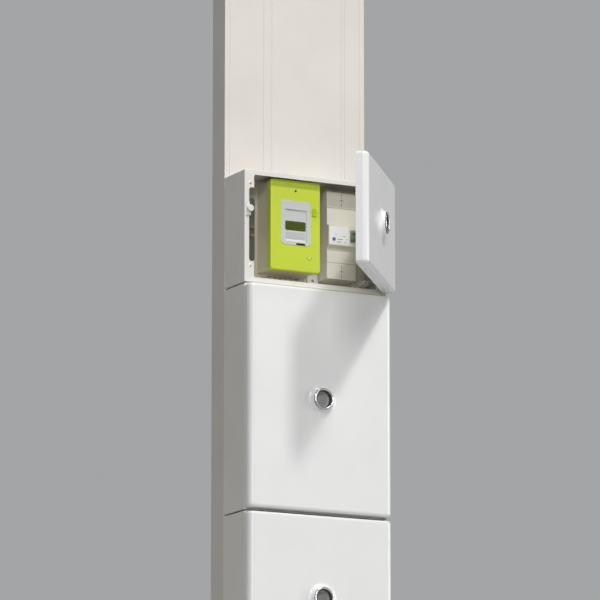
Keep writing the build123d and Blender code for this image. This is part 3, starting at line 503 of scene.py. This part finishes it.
# The label's printed marks, each from its left to its right edge and from its foot to its top.
for name, x_low, x_high, z_low, z_high in (
        ("rule_upper", 0.0656, 0.0800, 0.2388, 0.2402),
        ("rule_lower", 0.0656, 0.0760, 0.2326, 0.2340),
        ("rule_top", 0.0790, 0.0880, 0.2466, 0.2475),
        ("rule_side", 0.0606, 0.0650, 0.2486, 0.2495),
        ("square_left", 0.0850, 0.0874, 0.2326, 0.2350),
        ("square_right", 0.0890, 0.0908, 0.2392, 0.2410)):
    mark(name, x_low, x_high, z_low, z_high, label_face)
# Two terminal blocks stand side by side in the blank plate's lower right corner, each with one screw.
blank_low, blank_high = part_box("blank_plate")
blank_front = -blank_low.y
block_pitch, block_edge, block_foot = 0.0085, 0.0010, 0.0075
block_half_x, block_half_z, block_rise = 0.0038, 0.0065, 0.0260
block_places = []
for number in (1, 2):
    block_x = blank_high.x - block_edge - block_pitch * (number - 0.5)
    block_z = blank_low.z + block_foot
    on(cushion(f"terminal_block_{number}", block_x - block_half_x, block_x + block_half_x,
               block_z - block_half_z, block_z + block_half_z, back=blank_front - seated,
               rise=block_rise, corner=0.0015, material=cabinet_white), "root")
    block_places.append((block_x, block_z))
terminal_seat, terminal_radius, terminal_rise = blank_front + 0.0256, 0.0020, 0.0012
cross_heads("terminal_block_screws", block_places, terminal_seat, terminal_radius, terminal_rise, seal_steel)
collar_half_x, collar_half_z, collar_corner, collar_radius = 0.0078, 0.0150, 0.003, 0.0009
collar_points = outline_tube(lever_x - collar_half_x, lever_x + collar_half_x, lever_z - collar_half_z,
                             lever_z + collar_half_z, collar_corner, -label_face, collar_radius)
on(surface("toggle_collar", collar_points, breaker_cream, closed_round=True, closed_along=True),
   "root")
for row in (1, 2, 3):
    dress(breaker_cream, f"row_{row}_breakers", f"row_{row}_switch")
    dress(lever_grey, f"row_{row}_switch_lever")
    dress(test_blue, f"row_{row}_test_button")

# Stage
# The column hangs on its wall clear of the floor, so the floor is a pale matt disc well below it. The
# disc is three even rings of points about the wall screws' centre.
floor_level, floor_steps = -2.05, 72
reach = np.array([0.0, 1.5, 3.0])[:, None]
around = np.linspace(0, 2 * math.pi, floor_steps, endpoint=False)
level = np.full((len(reach), floor_steps), floor_level)
floor_points = np.stack([reach * np.cos(around), reach * np.sin(around), level], axis=-1)
floor_pale = plastic("floor_pale", (0.62, 0.62, 0.62), 0.75, grain=60.0, lift=0.05, drift=0.008)
floor = surface("floor", floor_points, floor_pale, closed_round=True)

# Light
# A soft lamp high in front, where the photograph has its own, weaker ones above, on the left, on the
# right and behind, and an even pale sky. The camera, gloss and glass see a plain grey backdrop in its
# place.
world = bpy.data.worlds.new("studio")
bpy.context.scene.world = world
world.use_nodes = True
sky = world.node_tree
background = sky.nodes["Background"]
background.inputs["Color"].default_value = (0.80, 0.81, 0.83, 1.0)
background.inputs["Strength"].default_value = 0.16
backdrop = sky.nodes.new("ShaderNodeBackground")
backdrop.inputs["Color"].default_value = (0.37, 0.375, 0.38, 1.0)
backdrop.inputs["Strength"].default_value = 1.0
path = sky.nodes.new("ShaderNodeLightPath")
seen = sky.nodes.new("ShaderNodeMath")
seen.operation = "MAXIMUM"
clear = sky.nodes.new("ShaderNodeMath")
clear.operation = "MAXIMUM"
choose = sky.nodes.new("ShaderNodeMixShader")
sky.links.new(path.outputs["Is Camera Ray"], seen.inputs[0])
sky.links.new(path.outputs["Is Glossy Ray"], seen.inputs[1])
sky.links.new(seen.outputs["Value"], clear.inputs[0])
sky.links.new(path.outputs["Is Transmission Ray"], clear.inputs[1])
sky.links.new(clear.outputs["Value"], choose.inputs["Fac"])
sky.links.new(background.outputs["Background"], choose.inputs[1])
sky.links.new(backdrop.outputs["Background"], choose.inputs[2])
sky.links.new(choose.outputs["Shader"], sky.nodes["World Output"].inputs["Surface"])


def lamp(name, place, target, size, power):
    """A square area lamp at a place, facing a target."""
    light = bpy.data.lights.new(name, "AREA")
    light.shape = "SQUARE"
    light.size = size
    light.energy = power
    lamp_object = bpy.data.objects.new(name, light)
    bpy.context.collection.objects.link(lamp_object)
    start, end = np.array(place), np.array(target)
    lamp_object.location = place
    across, deep, up = end - start
    tilt, turn = math.atan2(math.hypot(across, deep), -up), math.atan2(-across, deep)
    lamp_object.rotation_euler = (tilt, 0.0, turn)


lamp("key", (0.55, -5.18, 7.48), (0.0, -0.2, 0.0), 0.8, 450.0)
lamp("top", (-0.5, -1.2, 5.5), (0.0, -0.2, 0.0), 0.8, 60.0)
lamp("front_fill", (-1.75, -4.35, 2.2), (0.0, -0.15, 0.2), 1.2, 74.0)
lamp("level_fill", (-2.2, -4.0, 0.0), (0.0, -0.1, 0.2), 1.0, 26.0)
lamp("back_fill", (1.2, 4.4, 1.2), (0.0, 0.0, 0.0), 2.0, 90.0)
lamp("side_fill", (4.2, -2.4, 0.2), (0.0, -0.1, 0.0), 2.0, 64.0)

# Camera
# The photograph's own viewing angle: low, far away and to the left, looking up the column. The long
# lens keeps the column's edges nearly parallel.
camera_data = bpy.data.cameras.new("camera")
camera_data.sensor_width = 36.0
camera_data.lens = 272.3
camera_data.clip_end = 100.0
camera = bpy.data.objects.new("camera", camera_data)
bpy.context.collection.objects.link(camera)
camera.location = (-4.509, -8.739, -1.864)
camera.rotation_euler = (math.radians(101.411), 0.0, math.radians(-27.518))
bpy.context.scene.camera = camera
bpy.context.scene.view_settings.view_transform = "Standard"
